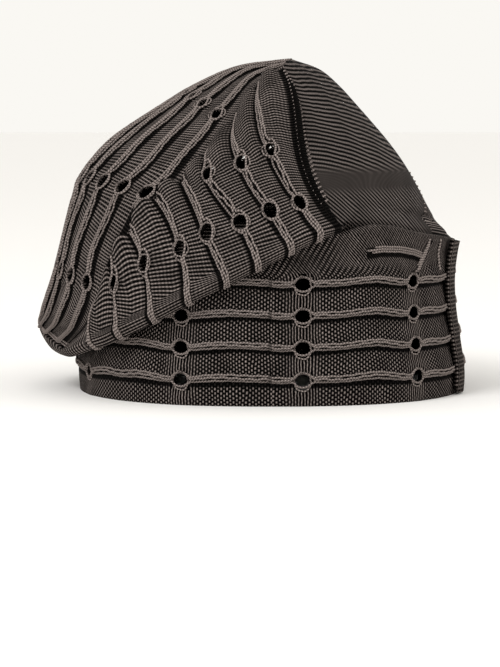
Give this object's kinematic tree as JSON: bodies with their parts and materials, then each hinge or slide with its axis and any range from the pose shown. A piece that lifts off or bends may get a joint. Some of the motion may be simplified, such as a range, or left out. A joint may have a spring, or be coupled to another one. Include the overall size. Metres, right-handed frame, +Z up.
{
  "type": "fila cap",
  "caption": "Soft fila cap of openwork strip-woven cloth: a standing band, a crown flopped forward and to one side, an oval end panel and a plain ribbed side panel.",
  "frame": {"origin": "centre of the bounding box at the height of the rim that the cap stands on", "axes": "+Z up, -Y towards the front of the cap, -X towards the side to which the crown falls; +Y is along the longest extent"},
  "size_m": [0.1862, 0.23, 0.1428],
  "materials": {
    "band_openwork_cloth": "matte openwork weave",
    "seam_strip_cloth": "matte folded strip",
    "flap_openwork_cloth": "matte openwork weave",
    "back_openwork_cloth": "matte openwork weave",
    "top_openwork_cloth": "matte openwork weave",
    "plain_rib_cloth": "soft fine rib"
  },
  "bodies": {
    "root": {"band": "band_openwork_cloth", "side_seam": "seam_strip_cloth", "crown_flap": "flap_openwork_cloth", "crown_back": "back_openwork_cloth", "crown_top": "top_openwork_cloth", "crown_side": "plain_rib_cloth"}
  },
  "joints": []
}
